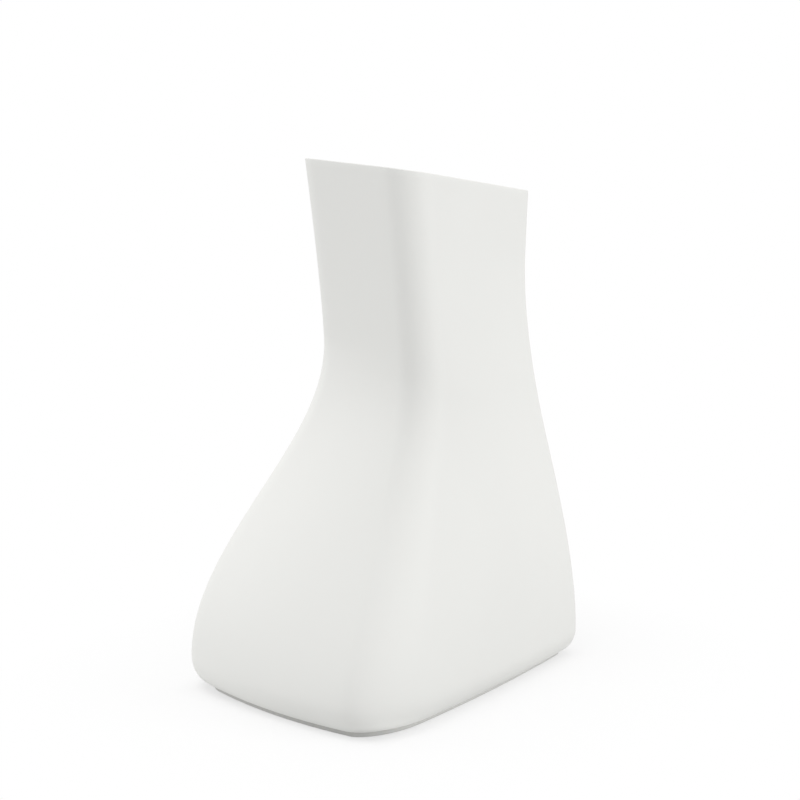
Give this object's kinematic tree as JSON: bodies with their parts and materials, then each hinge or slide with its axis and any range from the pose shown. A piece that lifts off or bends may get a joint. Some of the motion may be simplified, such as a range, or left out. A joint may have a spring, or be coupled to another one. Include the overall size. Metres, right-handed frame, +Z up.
{
  "type": "flower vase",
  "caption": "Tall matte white floor vase with a leaning four-sided neck, slanted open mouth and wide rounded foot on a recessed plinth, holding a lift-out flower bucket.",
  "frame": {"origin": "on the ground, under the middle of the vase's outline", "axes": "+Z up, -Y towards the front face, +X towards the right face of the picture"},
  "size_m": [0.4058, 0.5332, 0.7594],
  "materials": {
    "shell_resin": "matte moulded white",
    "plinth_coat": "light grey powder coat",
    "screw_steel": "zinc plated",
    "insert_brass": "turned",
    "pad_rubber": "matte black",
    "bucket_plastic": "dark grey, satin",
    "bail_wire": "galvanised wire",
    "grip_sleeve": "matte black"
  },
  "bodies": {
    "vase": {"outer_shell": "shell_resin", "base_plinth": "plinth_coat", "plinth_screw_1": "screw_steel", "plinth_screw_2": "screw_steel", "plinth_screw_3": "screw_steel", "plinth_screw_4": "screw_steel", "plinth_screw_5": "screw_steel", "plinth_screw_6": "screw_steel", "threaded_insert_1": "insert_brass", "threaded_insert_2": "insert_brass", "threaded_insert_3": "insert_brass", "threaded_insert_4": "insert_brass", "threaded_insert_5": "insert_brass", "threaded_insert_6": "insert_brass", "foot_pad_1": "pad_rubber", "foot_pad_2": "pad_rubber", "foot_pad_3": "pad_rubber", "foot_pad_4": "pad_rubber"},
    "bucket": {"flower_bucket": "bucket_plastic"},
    "bail": {"bucket_bail": "bail_wire", "bail_grip": "grip_sleeve"}
  },
  "joints": [
    {"name": "bucket_lift", "type": "slide", "parent": "vase", "child": "bucket", "axis": [0, 0, 1], "range_m": [0, 0.76]},
    {"name": "bail_swing", "type": "hinge", "parent": "bucket", "child": "bail", "pos_m": [0.04724, 0.03384, 0.62219], "axis": [0, 1, 0], "range_deg": [0, 180]}
  ]
}
